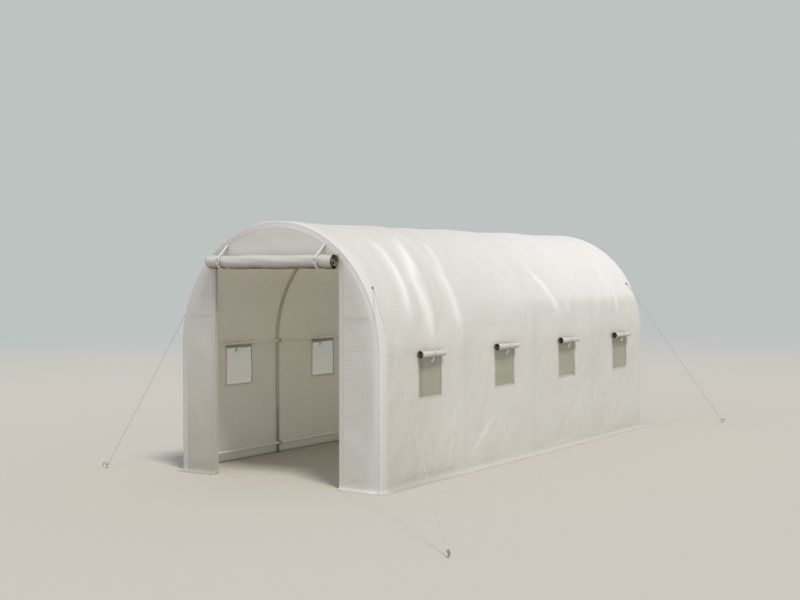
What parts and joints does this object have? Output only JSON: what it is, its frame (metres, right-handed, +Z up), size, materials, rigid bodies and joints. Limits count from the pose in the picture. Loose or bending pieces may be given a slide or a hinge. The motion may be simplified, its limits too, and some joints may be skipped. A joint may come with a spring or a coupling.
{
  "type": "polytunnel greenhouse",
  "caption": "Walk-in polytunnel with a reinforced film cover on steel hoops, a rolled-up door, mesh windows with rolled-up flaps, and guy ropes.",
  "frame": {"origin": "on the ground, under the middle of the tunnel and of its guy rope pegs", "axes": "+Z up, the door faces -Y, the tunnel runs along Y, +X is the right-hand side seen from the door"},
  "size_m": [5.0608, 7.2922, 1.9998],
  "materials": {
    "tube": "galvanised, satin",
    "clip": "moulded, matt",
    "film": "woven grid in film, soft sheen",
    "zip": "woven tape and moulded coil",
    "webbing": "woven webbing",
    "buckle": "moulded, satin",
    "mesh": "fine open mesh",
    "eyelet": "plated",
    "rope": "braided",
    "peg": "zinc plated"
  },
  "bodies": {
    "root": {"front_hoop": "tube", "hoop_2": "tube", "hoop_3": "tube", "hoop_4": "tube", "rear_hoop": "tube", "ridge_rail": "tube", "eaves_rail_right": "tube", "eaves_rail_left": "tube", "base_rail_right": "tube", "base_rail_left": "tube", "door_posts": "tube", "door_header": "tube", "front_ties": "tube", "rear_base_rail": "tube", "rear_cross_rail": "tube", "ridge_clips": "clip", "eaves_clips_right": "clip", "eaves_clips_left": "clip", "base_clips_right": "clip", "base_clips_left": "clip", "roof_front_bay": "film", "roof_bay_2": "film", "roof_bay_3": "film", "roof_rear_bay": "film", "wall_right": "film", "wall_left": "film", "front_panel_right": "film", "front_panel_left": "film", "front_gable": "film", "rear_wall": "film", "skirt_right": "film", "skirt_left": "film", "front_skirt_right": "film", "front_skirt_left": "film", "rear_skirt": "film", "door_roll": "film", "window_flaps_right": "film", "window_flaps_left": "film", "door_zips": "zip", "door_straps": "webbing", "window_ties_right": "webbing", "window_ties_left": "webbing", "door_buckles": "buckle", "window_meshes_right": "mesh", "window_meshes_left": "mesh", "rope_eyelets": "eyelet", "rope_front_right": "rope", "rope_front_left": "rope", "rope_rear_right": "rope", "rope_rear_left": "rope", "rope_pegs": "peg"}
  },
  "joints": []
}
